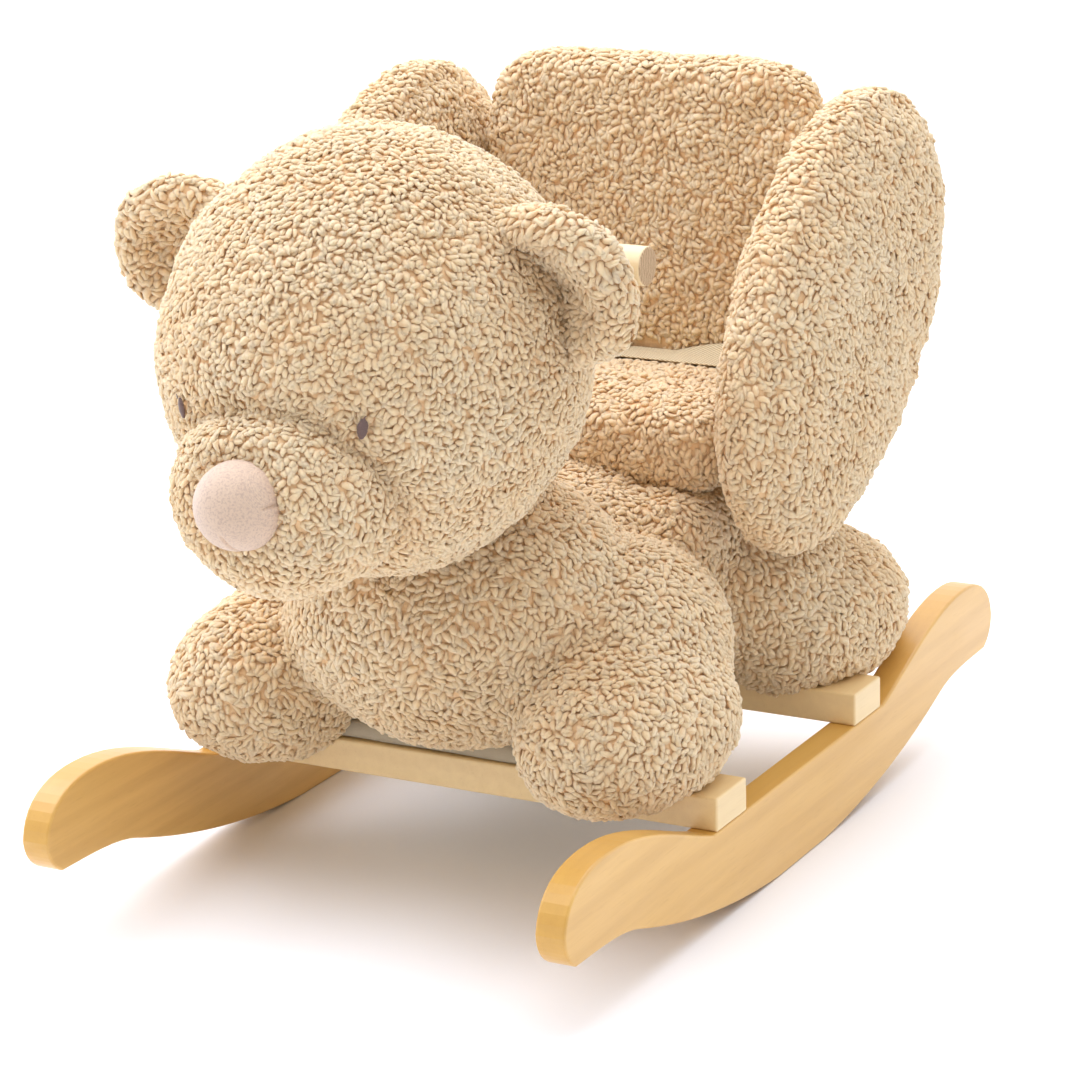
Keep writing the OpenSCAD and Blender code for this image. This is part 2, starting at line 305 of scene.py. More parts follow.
def tuft_template():
    """Faces of one tuft, with each corner's place in a unit cell for its texture."""
    faces, cells = [], []
    v = [0.05, *(0.05 + 0.9 * s for s in RINGS), 0.95]
    ring = lambda k, j: 1 + k * SIDES + j % SIDES
    last = len(RINGS) - 1
    for j in range(SIDES):
        u0, u1 = 0.05 + 0.9 * j / SIDES, 0.05 + 0.9 * (j + 1) / SIDES
        faces.append((0, ring(0, j + 1), ring(0, j)))
        cells.append((((u0 + u1) / 2, v[0]), (u1, v[1]), (u0, v[1])))
        for k in range(last):
            faces.append((ring(k, j), ring(k, j + 1), ring(k + 1, j + 1), ring(k + 1, j)))
            cells.append(((u0, v[k + 1]), (u1, v[k + 1]), (u1, v[k + 2]), (u0, v[k + 2])))
        faces.append((ring(last, j), ring(last, j + 1), 1 + len(RINGS) * SIDES))
        cells.append(((u0, v[last + 1]), (u1, v[last + 1]), ((u0 + u1) / 2, v[last + 2])))
    return faces, cells


TUFT_FACES, TUFT_CELLS = tuft_template()
TUFT_VERTS = 2 + len(RINGS) * SIDES


def unit(v):
    return v / np.maximum(np.linalg.norm(v, axis=1, keepdims=True), 1e-12)


def comb(points, aims, flow, rng, spread):
    """The way each tuft lies: along flow, turned by soft eddies and by chance."""
    down = np.tile(np.array(flow, float), (len(points), 1))
    along = unit(down - aims * (down * aims).sum(1, keepdims=True) + 1e-6)
    across = np.cross(aims, along)
    eddy = np.array([noise.noise(Vector(p) / 0.022) for p in points]) * 2.6
    turn = eddy + rng.normal(0, spread, len(points))
    return along * np.cos(turn)[:, None] + across * np.sin(turn)[:, None]


def tuft_mesh(name, points, aims, lay, rng, length, width, rise):
    """One mesh of separate closed tufts: bent teardrops lying on the surface."""
    n = len(points)
    across = np.cross(aims, lay)
    size = rng.uniform(0.68, 1.32, (3, n))
    long, wide, high = length * size[0], width * size[1], rise * size[2]
    curl = rng.normal(0, 0.6, n)
    tilt = rng.uniform(0.02, 0.27, n)
    stand = rng.normal(0, 0.25 * rise, n)
    verts = np.empty((n, TUFT_VERTS, 3))
    painted_light = np.empty((n, TUFT_VERTS))

    def spine(s, lift):
        along = (s - 0.42) * long
        side = curl * long * (s - 0.35) ** 2
        up = high * lift + tilt * long * (s - 0.3) + stand
        return points + lay * along[:, None] + across * side[:, None] + aims * up[:, None]

    verts[:, 0] = spine(0.0, POLE_LIFT[0])
    verts[:, -1] = spine(1.0, POLE_LIFT[1])
    # These values are painted shade and highlight per corner: 0 at the root is painted shade
    # between the tufts, 0.8 at the tip is a painted highlight
    painted_light[:, 0], painted_light[:, -1] = 0.0, 0.8
    for k, s in enumerate(RINGS):
        centre = spine(s, RING_LIFT[k])
        for j in range(SIDES):
            angle = 2 * math.pi * (j + 0.25) / SIDES
            side = math.cos(angle) * wide / 2 * RING_WIDE[k]
            up = math.sin(angle) * wide / 2 * RING_WIDE[k] * 0.72
            i = 1 + k * SIDES + j
            verts[:, i] = centre + across * side[:, None] + aims * up[:, None]
            # Each ring is painted lighter on its upper side and darker underneath, as light from
            # above would fall, and lighter towards the tip
            painted_light[:, i] = 0.5 + 0.35 * math.sin(angle) + 0.2 * (k - 1)
    tone = np.repeat(rng.random(n), TUFT_VERTS)
    return build_tufts(name, verts.reshape(-1, 3), painted_light.ravel(), tone, n)


def build_tufts(name, verts, painted_light, tone, n):
    corners = np.concatenate([np.array(f) for f in TUFT_FACES])
    cells = np.concatenate([np.array(c) for c in TUFT_CELLS])
    totals = np.array([len(f) for f in TUFT_FACES])
    starts = np.concatenate([[0], np.cumsum(totals)[:-1]])
    loops = (corners[None] + TUFT_VERTS * np.arange(n)[:, None]).ravel()
    begin = (starts[None] + len(corners) * np.arange(n)[:, None]).ravel()
    columns = math.ceil(math.sqrt(n))
    column, row = np.arange(n) % columns, np.arange(n) // columns
    corner = np.stack([column, row], 1)[:, None]
    uv = (cells[None] + corner) / columns
    mesh = bpy.data.meshes.new(name)
    mesh.vertices.add(len(verts))
    mesh.vertices.foreach_set("co", verts.ravel())
    mesh.loops.add(len(loops))
    mesh.loops.foreach_set("vertex_index", loops)
    mesh.polygons.add(len(begin))
    mesh.polygons.foreach_set("loop_start", begin)
    mesh.polygons.foreach_set("use_smooth", np.ones(len(begin), bool))
    mesh.update(calc_edges=True)
    mesh.uv_layers.new(name="OFBake").uv.foreach_set("vector", uv.ravel())
    # The painted shade and highlight values are stored as the rise attribute, which the sherpa
    # material reads
    for label, values in (("rise", painted_light), ("tone", tone)):
        mesh.attributes.new(label, "FLOAT", "POINT").data.foreach_set("value", values)
    mesh.validate()
    piece = bpy.data.objects.new(name, mesh)
    scene.collection.objects.link(piece)
    return piece


def grow_pile(shell, seed, spacing, length, width, rise=1.0 * MM, flow=(0, 0, -1),
              spread=0.9, neighbours=(), bare=()):
    """Covers a shell with tufts, in as many pieces as the size of a mesh allows."""
    rng = np.random.default_rng(seed)
    points, aims = scatter(shell, spacing, rng)
    keep = off_the_wood(points) & off_the_eyes(points) & clear_of(points, neighbours)
    for low, high in bare:
        inside = np.all((points > np.array(low)) & (points < np.array(high)), axis=1)
        keep &= ~inside
    points, aims = points[keep], aims[keep]
    order = np.argsort(points[:, 0], kind="stable")
    points, aims = points[order], aims[order]
    lay = comb(points, aims, flow, rng, spread)
    parts = math.ceil(len(points) / PILE_MAX_TUFTS)
    piles = []
    for k in range(parts):
        share = slice(k * len(points) // parts, (k + 1) * len(points) // parts)
        name = f"{shell.name}_pile_{k + 1}"
        pile = tuft_mesh(name, points[share], aims[share], lay[share], rng,
                         length, width, rise)
        pile.data.materials.append(sherpa)
        pile.parent = shell
        piles.append(pile)
    print("PILE", shell.name, len(points), "tufts in", parts)
    return piles


# ---------------------------------------------------------------- materials

def srgb(r, g, b):
    """Linear colour of a screen colour given from 0 to 255."""
    line = lambda c: c / 12.92 if c <= 0.04045 else ((c + 0.055) / 1.055) ** 2.4
    return (*(line(c / 255) for c in (r, g, b)), 1)


class Nodes:
    """A short way to write a material's node tree."""

    def __init__(self, name):
        self.material = bpy.data.materials.new(name)
        self.material.use_nodes = True
        self.tree = self.material.node_tree
        self.shader = next(n for n in self.tree.nodes if n.type == "BSDF_PRINCIPLED")
        self.place = self.add("ShaderNodeTexCoord").outputs["Object"]

    def add(self, kind, **values):
        node = self.tree.nodes.new(kind)
        for key, value in values.items():
            setattr(node, key, value)
        return node

    def link(self, out, into):
        self.tree.links.new(out, into)

    def feed(self, socket, value):
        if isinstance(value, bpy.types.NodeSocket):
            self.link(value, socket)
        else:
            socket.default_value = value

    def set(self, **values):
        for key, value in values.items():
            self.feed(self.shader.inputs[key.replace("_", " ")], value)

    def scaled(self, scale, turn=(0, 0, 0)):
        node = self.add("ShaderNodeMapping")
        self.link(self.place, node.inputs["Vector"])
        node.inputs["Scale"].default_value = scale
        node.inputs["Rotation"].default_value = turn
        return node.outputs["Vector"]

    def noise(self, scale, detail=2.0, roughness=0.5, vector=None):
        node = self.add("ShaderNodeTexNoise")
        node.inputs["Scale"].default_value = scale
        node.inputs["Detail"].default_value = detail
        node.inputs["Roughness"].default_value = roughness
        self.link(vector or self.place, node.inputs["Vector"])
        return node.outputs["Fac"]

    def wave(self, scale, vector=None, distortion=0.0, direction="X", profile="SIN"):
        node = self.add("ShaderNodeTexWave", bands_direction=direction,
                        wave_profile=profile)
        node.inputs["Scale"].default_value = scale
        node.inputs["Distortion"].default_value = distortion
        self.link(vector or self.place, node.inputs["Vector"])
        return node.outputs["Fac"]

    def spread(self, value, low, high, to_low=0.0, to_high=1.0):
        node = self.add("ShaderNodeMapRange", clamp=True)
        self.link(value, node.inputs["Value"])
        for key, number in (("From Min", low), ("From Max", high),
                            ("To Min", to_low), ("To Max", to_high)):
            node.inputs[key].default_value = number
        return node.outputs["Result"]

    def mix(self, factor, a, b, blend="MIX"):
        node = self.add("ShaderNodeMix", data_type="RGBA", blend_type=blend)
        self.feed(node.inputs["Factor"], factor)
        self.feed(node.inputs[6], a)
        self.feed(node.inputs[7], b)
        return node.outputs[2]

    def math(self, operation, a, b=0.5):
        node = self.add("ShaderNodeMath", operation=operation)
        self.feed(node.inputs[0], a)
        self.feed(node.inputs[1], b)
        return node.outputs[0]

    def attribute(self, name):
        return self.add("ShaderNodeAttribute", attribute_name=name).outputs["Fac"]

    def bump(self, height, distance, strength=1.0):
        node = self.add("ShaderNodeBump")
        self.link(height, node.inputs["Height"])
        node.inputs["Distance"].default_value = distance
        node.inputs["Strength"].default_value = strength
        self.link(node.outputs["Normal"], self.shader.inputs["Normal"])


def sherpa_material():
    """Curly wool: cream, with painted shade at each tuft's root and underside and painted highlight
    on its tip and upper side; each tuft a little different.
    """
    m = Nodes("sherpa_pile")
    # rise carries painted light: the darker root colour is painted shade between and under the
    # tufts; the cream crown colour is the wool's own, shown fully on tips and upper sides as
    # painted highlight
    rise = m.spread(m.attribute("rise"), 0.1, 0.95)
    tuft = m.mix(rise, srgb(240, 201, 152), srgb(255, 229, 189))
    tone = m.spread(m.attribute("tone"), 0.0, 1.0, 0.94, 1.0)
    shaded = m.mix(1.0, tuft, tone, "MULTIPLY")
    drift = m.spread(m.noise(14, 3), 0.35, 0.7, 0.0, 0.5)
    m.set(Base_Color=m.mix(drift, shaded, srgb(254, 240, 222), "MULTIPLY"))
    m.set(Roughness=m.spread(m.noise(900, 2), 0.3, 0.7, 0.82, 0.96))
    m.shader.inputs["Sheen Weight"].default_value = 0.3
    m.shader.inputs["Sheen Roughness"].default_value = 0.5
    m.shader.inputs["Sheen Tint"].default_value = srgb(255, 248, 238)
    m.shader.inputs["Specular IOR Level"].default_value = 0.15
    m.shader.inputs["Subsurface Weight"].default_value = 0.4
    m.shader.inputs["Subsurface Radius"].default_value = (1.0, 0.98, 0.96)
    m.shader.inputs["Subsurface Scale"].default_value = 2.2 * MM
    m.bump(m.noise(1300, 3, 0.65), 0.9 * MM, 0.9)
    return m.material


def shaded_backing_material():
    """The knitted backing that shows in the gaps between tufts, coloured darker than the wool as
    painted shade for those gaps.
    """
    m = Nodes("sherpa_backing_painted_shade")
    fuzz = m.noise(420, 4, 0.6)
    # These tans are the backing's own colour, darkened as painted shade for the gaps between tufts
    m.set(Base_Color=m.mix(fuzz, srgb(234, 196, 148), srgb(243, 212, 168)))
    m.set(Roughness=m.spread(fuzz, 0.3, 0.7, 0.85, 1.0))
    m.shader.inputs["Specular IOR Level"].default_value = 0.1
    m.bump(fuzz, 1.2 * MM, 0.8)
    return m.material


def wood_material(name, face, edge, dark, figure=0.25):
    """Varnished wood with its grain along Y; edge grain is deeper in colour."""
    m = Nodes(name)
    long_grain = m.noise(1.0, 5, 0.6, m.scaled((160, 9, 160)))
    pores = m.noise(1.0, 2, 0.5, m.scaled((900, 60, 900)))
    cloud = m.noise(1.0, 3, 0.5, m.scaled((14, 5, 14)))
    rings = m.wave(1.0, m.scaled((9, 2.2, 16)), 5.0, "Z")
    side = m.add("ShaderNodeSeparateXYZ")
    m.link(m.add("ShaderNodeNewGeometry").outputs["Normal"], side.inputs[0])
    flat = m.spread(m.math("ABSOLUTE", side.outputs["X"]), 0.5, 0.9)
    base = m.mix(flat, edge, face)
    grained = m.mix(m.spread(long_grain, 0.35, 0.75, 0.0, figure), base, dark)
    figured = m.mix(m.spread(rings, 0.55, 1.0, 0.0, figure * 0.6), grained, dark)
    pored = m.mix(m.spread(pores, 0.60, 0.78, 0.0, 0.22), figured, dark)
    m.set(Base_Color=m.mix(m.spread(cloud, 0.35, 0.7, 0.0, 0.30), pored, edge))
    m.set(Roughness=m.spread(cloud, 0.3, 0.7, 0.30, 0.44))
    m.shader.inputs["Coat Weight"].default_value = 0.25
    m.shader.inputs["Coat Roughness"].default_value = 0.3
    m.bump(long_grain, 0.15 * MM, 0.35)
    return m.material


def dowel_material():
    """A pale turned dowel along X, with darker end grain on its sawn ends."""
    m = Nodes("pale_dowel")
    grain = m.noise(1.0, 4, 0.6, m.scaled((12, 220, 220)))
    side_wood = m.mix(m.spread(grain, 0.35, 0.75, 0.0, 0.4), srgb(244, 226, 184),
                      srgb(222, 186, 124))
    rings = m.wave(1.0, m.scaled((1, 150, 210)), 6.0, "Y")
    specks = m.noise(1.0, 2, 0.7, m.scaled((100, 1500, 1500)))
    end_wood = m.mix(m.spread(rings, 0.2, 0.9), srgb(206, 178, 142), srgb(172, 140, 102))
    end_wood = m.mix(m.spread(specks, 0.5, 0.75, 0.0, 0.5), end_wood, srgb(136, 102, 70))
    side = m.add("ShaderNodeSeparateXYZ")
    m.link(m.add("ShaderNodeNewGeometry").outputs["Normal"], side.inputs[0])
    ends = m.spread(m.math("ABSOLUTE", side.outputs["X"]), 0.4, 0.8)
    m.set(Base_Color=m.mix(ends, side_wood, end_wood))
    m.set(Roughness=m.spread(ends, 0.0, 1.0, 0.42, 0.75))
    m.bump(grain, 0.12 * MM, 0.35)
    return m.material


def cloth_material(name, light, dark, threads=900, depth=0.25 * MM):
    """Plain woven cloth."""
    m = Nodes(name)
    warp, weft = m.wave(threads, direction="X"), m.wave(threads, direction="Z")
    weave = m.math("MULTIPLY", warp, weft)
    slub = m.noise(140, 3, 0.6)
    thread = m.mix(m.spread(weave, 0.0, 1.0), dark, light)
    m.set(Base_Color=m.mix(m.spread(slub, 0.35, 0.7, 0.0, 0.3), thread, dark))
    m.set(Roughness=m.spread(slub, 0.3, 0.7, 0.8, 0.95))
    m.shader.inputs["Sheen Weight"].default_value = 0.2
    m.bump(weave, depth, 0.7)
    return m.material


def nose_material():
    """Fine melange jersey: pink-beige with grey flecks in slanting ribs."""
    m = Nodes("nose_jersey")
    slant = m.scaled((1, 1, 1), (0, math.radians(35), 0))
    rib = m.wave(520, slant, 1.5, "X")
    fleck = m.noise(820, 2, 0.7)
    pink = m.mix(m.noise(60, 3), srgb(230, 204, 178), srgb(216, 190, 166))
    flecked = m.mix(m.spread(fleck, 0.48, 0.62, 0.0, 0.5), pink, srgb(178, 150, 138))
    m.set(Base_Color=m.mix(m.spread(rib, 0.0, 0.5, 0.22, 0.0), flecked, srgb(190, 160, 146)))
    m.set(Roughness=m.spread(fleck, 0.3, 0.7, 0.75, 0.92))
    m.shader.inputs["Sheen Weight"].default_value = 0.35
    m.bump(m.math("ADD", rib, fleck), 0.18 * MM, 0.6)
    return m.material


def thread_material():
    m = Nodes("eye_thread")
    strand = m.noise(1.0, 3, 0.6, m.scaled((300, 300, 2600)))
    m.set(Base_Color=m.mix(strand, srgb(88, 66, 62), srgb(138, 112, 104)))
    m.set(Roughness=m.spread(strand, 0.3, 0.7, 0.42, 0.6))
    m.shader.inputs["Sheen Weight"].default_value = 0.2
    m.bump(strand, 0.08 * MM, 0.5)
    return m.material


def webbing_material():
    """Cotton webbing with slanting twill ribs."""
    m = Nodes("webbing_twill")
    slant = m.scaled((1, 1.6, 1), (0, 0, 0))
    twill = m.wave(190, slant, 0.4, "DIAGONAL")
    slub = m.noise(260, 3, 0.6)
    thread = m.mix(twill, srgb(186, 164, 120), srgb(244, 230, 196))
    m.set(Base_Color=m.mix(m.spread(slub, 0.35, 0.7, 0.0, 0.3), thread, srgb(226, 208, 168)))
    m.set(Roughness=m.spread(slub, 0.3, 0.7, 0.8, 0.95))
    m.shader.inputs["Sheen Weight"].default_value = 0.15
    m.bump(twill, 0.35 * MM, 0.8)
    return m.material


def plastic_material():
    m = Nodes("buckle_satin")
    fine = m.noise(700, 2, 0.5)
    m.set(Base_Color=m.mix(m.noise(40, 3), srgb(228, 216, 190), srgb(218, 204, 176)))
    m.set(Roughness=m.spread(fine, 0.3, 0.7, 0.38, 0.5))
    m.bump(fine, 0.05 * MM, 0.4)
    return m.material


def steel_material():
    m = Nodes("zinc_steel")
    brushed = m.noise(1.0, 3, 0.6, m.scaled((2500, 200, 200)))
    m.set(Base_Color=m.mix(brushed, srgb(168, 171, 176), srgb(205, 207, 210)))
    m.set(Metallic=1.0, Roughness=m.spread(brushed, 0.3, 0.7, 0.28, 0.45))
    m.bump(brushed, 0.05 * MM, 0.3)
    return m.material


def plywood_material():
    """Bare plywood: pale faces, and layered edges."""
    m = Nodes("plywood_bare")
    layers = m.wave(1.0, m.scaled((110, 110, 110)), 0.3, "X")
    grain = m.noise(1.0, 4, 0.6, m.scaled((50, 50, 6)))
    pale = m.mix(m.spread(grain, 0.3, 0.7), srgb(226, 202, 160), srgb(208, 178, 130))
    m.set(Base_Color=m.mix(m.spread(layers, 0.6, 0.9, 0.0, 0.35), pale, srgb(172, 134, 88)))
    m.set(Roughness=m.spread(grain, 0.3, 0.7, 0.6, 0.8))
    m.bump(grain, 0.15 * MM, 0.4)
    return m.material


sherpa = sherpa_material()
backing = shaded_backing_material()
runner_wood = wood_material("beech_runner", srgb(234, 190, 112), srgb(218, 170, 84),
                            srgb(184, 130, 60))
pale_wood = wood_material("pale_beech", srgb(247, 221, 168), srgb(246, 218, 162),
                          srgb(206, 168, 110), 0.2)
dowel_wood = dowel_material()
cotton = cloth_material("cotton_calico", srgb(226, 217, 196), srgb(188, 174, 146))
nose_cloth = nose_material()
eye_thread = thread_material()
webbing = webbing_material()
buckle_plastic = plastic_material()
zinc = steel_material()
plywood = plywood_material()


def dress(piece, material, body=BODY):
    """Gives a piece its material and its body."""
    piece.data.materials.clear()
    piece.data.materials.append(material)
    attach(piece, body)
    return piece


# ---------------------------------------------------------------- plush shells

def shrunk(node, by=PILE_DEPTH):
    """Centre and radii of a CAD ellipsoid, less the depth of the pile."""
    return middle(node), half(node) - Vector((by, by, by))


def make_head():
    centre, radii = shrunk("head")
    head = balls("head_plush", [(centre, radii)], voxel=4.5 * MM, relax=2)
    return lump(head, 0.055, 3 * MM, 1)


def make_muzzle():
    centre, radii = shrunk("muzzle")
    return lump(balls("muzzle_plush", [(centre, radii)], 4.5 * MM, 2), 0.03, 2 * MM, 2)


LEGS = ["leg_front_left", "leg_front_right", "leg_rear_left", "leg_rear_right"]


def leg_shapes(leg):
    """A leg's foot, and the shoulder or haunch that runs up into the body."""
    foot = shrunk(leg)
    side = 1 if foot[0].x > 0 else -1
    if "front" in leg:
        joint = (at(side * 84, -66, 140), Vector((66, 72, 60)) * MM)
    else:
        joint = (at(side * 84, 104, 132), Vector((66, 78, 56)) * MM)
    return [foot, joint]


def nearness(points, shapes):
    """How far out of the nearest ellipsoid each point is: 1 is on its surface."""
    out = [np.linalg.norm((points - np.array(c)) / np.array(r), axis=1) for c, r in shapes]
    return np.min(out, axis=0)


def box_into(bm, centre, size, radius):
    made = bmesh.ops.create_cube(bm, size=1, matrix=Matrix.Translation(centre)
                                 @ Matrix.Diagonal((*size, 1)))
    edges = {e for v in made["verts"] for e in v.link_edges}
    bmesh.ops.bevel(bm, geom=list(edges), offset=radius, segments=6, profile=0.5,
                    affect="EDGES")


def cut_out(skin, name, chosen):
    """The chosen faces of a skin as a closed piece, its cut hidden by a cap."""
    bm = bmesh.new()
    bm.from_mesh(skin.data)
    bm.faces.ensure_lookup_table()
    bmesh.ops.delete(bm, geom=[bm.faces[int(i)] for i in np.nonzero(~chosen)[0]],
                     context="FACES")
    edges = [e for e in bm.edges if e.is_boundary]
    caps = bmesh.ops.holes_fill(bm, edges=edges, sides=0)["faces"]
    caps = bmesh.ops.triangulate(bm, faces=caps)["faces"]
    for face in caps:
        face.material_index = CAP
    bmesh.ops.recalc_face_normals(bm, faces=bm.faces)
    return from_bmesh(name, bm)


def make_body_and_legs():
    """One skin over the body and legs, eased at the joints and cut along them."""
    skin_in = PILE_DEPTH / MM
    trunk = [
        (at(0, -92, 163), Vector((106 - skin_in, 98 - skin_in, 81 - skin_in)) * MM),
        (at(0, 108, 145), Vector((106 - skin_in, 88 - skin_in, 60 - skin_in)) * MM),
        (at(0, 10, 153), Vector((104, 100, 68)) * MM),
        (at(0, -95, 240), Vector((54, 48, 42)) * MM),
    ]
    saddle = (at(0, 80, 168), Vector((212, 204, 80)) * MM)
    bm = bmesh.new()
    shapes = {leg: leg_shapes(leg) for leg in LEGS}
    for centre, radii in trunk + [x for pair in shapes.values() for x in pair]:
        ball_into(bm, centre, radii, 4)
    box_into(bm, *saddle, 26 * MM)
    skin = remesh(from_bmesh("skin", bm), 5 * MM, 12)
    lump(lump(skin, 0.06, 3 * MM, 3), 0.013, 1.2 * MM, 4)
    settle(skin)
    co = coords(skin)
    middles = np.array([np.mean(co[list(p.vertices)], axis=0) for p in skin.data.polygons])
    to_body = nearness(middles, trunk)
    owner = np.full(len(middles), -1)
    best = to_body
    for k, leg in enumerate(LEGS):
        to_leg = nearness(middles, shapes[leg][:1]) - 0.10
        to_leg = np.minimum(to_leg, nearness(middles, shapes[leg][1:]) + 0.05)
        owner[to_leg < best] = k
        best = np.minimum(best, to_leg)
    made = {leg: cut_out(skin, f"{leg}_plush", owner == k) for k, leg in enumerate(LEGS)}
    made["body"] = cut_out(skin, "body_plush", owner == -1)
    whole = tree_of(skin)
    bpy.data.objects.remove(skin)
    return made, whole


def pinch(shell, tree, depth, reach):
    """Draws a shell in along its seam with a neighbour, given as a tree."""
    co, no = coords(shell), normals(shell)
    for i, p in enumerate(co):
        near, _, _, far = tree.find_nearest(Vector(p), 3 * reach)
        if near is not None:
            co[i] = p - no[i] * depth * math.exp(-(far / reach) ** 2)
    set_coords(shell, co)
    return shell


def slab(name, size, radius, place, voxel=6 * MM):
    """A pad's cut shape: a box with its corners and edges rounded."""
    bm = bmesh.new()
    box_into(bm, Vector(), size, radius)
    bm.transform(place)
    return remesh(from_bmesh(name, bm), voxel, 2)


def puffed(pad, seam, cap, pressure=4.0):
    """Stuffs a pad by cloth simulation; seam says which points its stitching holds."""
    inflate(pad, pressure, cap, seam(coords(pad)))
    return subdivide(pad)


def frame_seam(centre, size, axis, inset, wide=3.5 * MM):
    """The welt round a pad's main face: points near its outline, seen along axis."""
    def held(co):
        off = np.abs(co - np.array(centre)) - np.array(size) / 2 + inset
        others = [k for k in range(3) if k != axis]
        ring = np.max(off[:, others], axis=1)
        return (np.abs(ring) < wide) & (off[:, axis] > -2 * wide)
    return held


def make_seat():
    centre = middle("seat_cushion")
    size = 2 * half("seat_cushion") - Vector((6, 6, 6)) * MM
    pad = slab("seat_cushion_plush", size, 17 * MM, Matrix.Translation(centre))
    return puffed(pad, frame_seam(centre, size, 2, 5 * MM), 7 * MM)


def make_back():
    centre = middle("backrest_cushion")
    size = 2 * half("backrest_cushion") + Vector((7, -8, 4)) * MM
    bm = bmesh.new()
    box_into(bm, Vector(), Vector((size.x, size.y, size.z - 30 * MM)), 15 * MM)
    for v in bm.verts:
        v.co.z -= 15 * MM
    box_into(bm, Vector((0, 0, 12 * MM)), Vector((size.x - 50 * MM, size.y, size.z - 24 * MM)),
             16 * MM)
    for side in (-1, 1):
        turn = Matrix.Rotation(math.pi / 2, 4, "X")
        spot = Vector((side * (size.x / 2 - 34 * MM), 0, size.z / 2 - 34 * MM))
        bmesh.ops.create_cone(bm, cap_ends=True, segments=48, radius1=32 * MM,
                              radius2=32 * MM, depth=size.y - 16 * MM,
                              matrix=Matrix.Translation(spot) @ turn)
    bm.transform(Matrix.Translation(centre))
    pad = remesh(from_bmesh("backrest_cushion_plush", bm), 6 * MM, 5)
    return puffed(pad, frame_seam(centre, size, 1, 6 * MM), 8 * MM)


WING_LEAN = math.radians(48)
WING_LONG = 149 * MM
WING_WIDE = 107 * MM
GUSSET = 0.62                      # half width of the wing's side band, to its depth


def make_wing(node, seed):
    """A thick oval pad leaning back beside the seat, sewn from two faces and a gusset."""
    centre = middle(node)
    depth = half(node).x - PILE_DEPTH - 2.5 * MM
    long, wide = WING_LONG - PILE_DEPTH, WING_WIDE - PILE_DEPTH
    edge = 24 * MM
    around, across = 72, 16
    verts, faces = [], []
    for i in range(across + 1):
        a = math.pi * i / across - math.pi / 2
        reach = 1 if 0 < i < across else 0
        pull = edge * (1 - math.cos(a))
        for j in range(around):
            b = 2 * math.pi * j / around
            verts.append(Vector((depth * math.sin(a), (wide - pull) * math.cos(b) * reach,
                                 (long - pull) * math.sin(b) * reach)))
    for i in range(across):
        for j in range(around):
            k = (j + 1) % around
            faces.append((i * around + j, i * around + k, (i + 1) * around + k,
                          (i + 1) * around + j))
    piece = new_piece(f"{node}_plush", verts, faces)
    remesh(piece, 6 * MM, 2)

    def seam(co):
        rim = np.hypot(co[:, 1] / (wide - 0.25 * edge), co[:, 2] / (long - 0.25 * edge))
        on_edge = np.abs(np.abs(co[:, 0]) - GUSSET * depth) < 3.2 * MM
        return on_edge & (rim > 0.9)

    puffed(piece, seam, 8 * MM)
    co, no = coords(piece), normals(piece)
    off_seam = np.abs(np.abs(co[:, 0]) - (GUSSET * depth + 2 * MM))
    co -= no * (4.5 * MM * np.exp(-(off_seam / (5 * MM)) ** 2))[:, None]
    set_coords(piece, co)
    lean = Matrix.Rotation(-WING_LEAN, 4, "X")
    piece.data.transform(Matrix.Translation(centre) @ lean)
    return lump(piece, 0.06, 3 * MM, seed)


EAR_AT = (104, -150, 374)           # middle of the root, on the head's side
EAR_OUT = (0.915, -0.25, 0.316)     # from the root to the tip
EAR_UP = (-0.374, -0.239, 0.896)    # along the root
EAR_LONG, EAR_WIDE = 57 * MM, 46 * MM
EAR_RIM = 10.5 * MM
EAR_DEEP = 21 * MM


def ear_profile():
    """Half of an ear's section from its back over the rim to the hollow, as (reach, y).

    The reach runs from 0 at the root's middle to 1 at the rim's outside.
    """
    rim = EAR_RIM / EAR_WIDE
    ring = 1 - rim
    out = [(ring * i / 11, 15 * MM - 4 * MM * (i / 11) ** 2) for i in range(1, 11)]
    for i in range(15):
        a = math.pi / 2 - math.pi * i / 14
        out.append((ring + rim * math.cos(a), EAR_RIM * math.sin(a) * 1.1))
    low = -EAR_RIM * 1.1
    out += [(ring * (1 - i / 9), low + EAR_DEEP * (i / 9) ** 0.85) for i in range(1, 9)]
    return out, 15 * MM, low + EAR_DEEP


def make_ear(node):
    """A flap with a thick soft rim, hollowed towards its root on the head."""
    side = 1 if middle(node).x > 0 else -1
    around = 72
    profile, back, bottom = ear_profile()
    verts = [Vector((0, back, 0))]
    for reach, y in profile:
        for j in range(around):
            b = 2 * math.pi * j / around
            c, d = math.cos(b), math.sin(b)
            square = (abs(c) ** 2.4 + abs(d) ** 2.4) ** (-1 / 2.4)
            verts.append(Vector((EAR_LONG * reach * c * square, y,
                                 EAR_WIDE * reach * d * square)))
    verts.append(Vector((0, bottom, 0)))
    faces = [(0, 1 + (j + 1) % around, 1 + j) for j in range(around)]
    for i in range(len(profile) - 1):
        for j in range(around):
            k = (j + 1) % around
            a, b = 1 + i * around, 1 + (i + 1) * around
            faces.append((a + j, a + k, b + k, b + j))
    last = 1 + (len(profile) - 1) * around
    faces += [(last + j, last + (j + 1) % around, len(verts) - 1) for j in range(around)]
    if side < 0:
        faces = [f[::-1] for f in faces]
    piece = new_piece(f"{node}_plush", verts, faces)
    out, up = Vector(EAR_OUT).normalized(), Vector(EAR_UP).normalized()
    turn = Matrix((out, up.cross(out), up)).transposed().to_4x4()
    mirror = Matrix.Diagonal((side, 1, 1, 1))
    piece.data.transform(mirror @ Matrix.Translation(Vector(EAR_AT) * MM) @ turn)
    return lump(remesh(piece, 3.5 * MM, 3), 0.03, 2.5 * MM, 33)


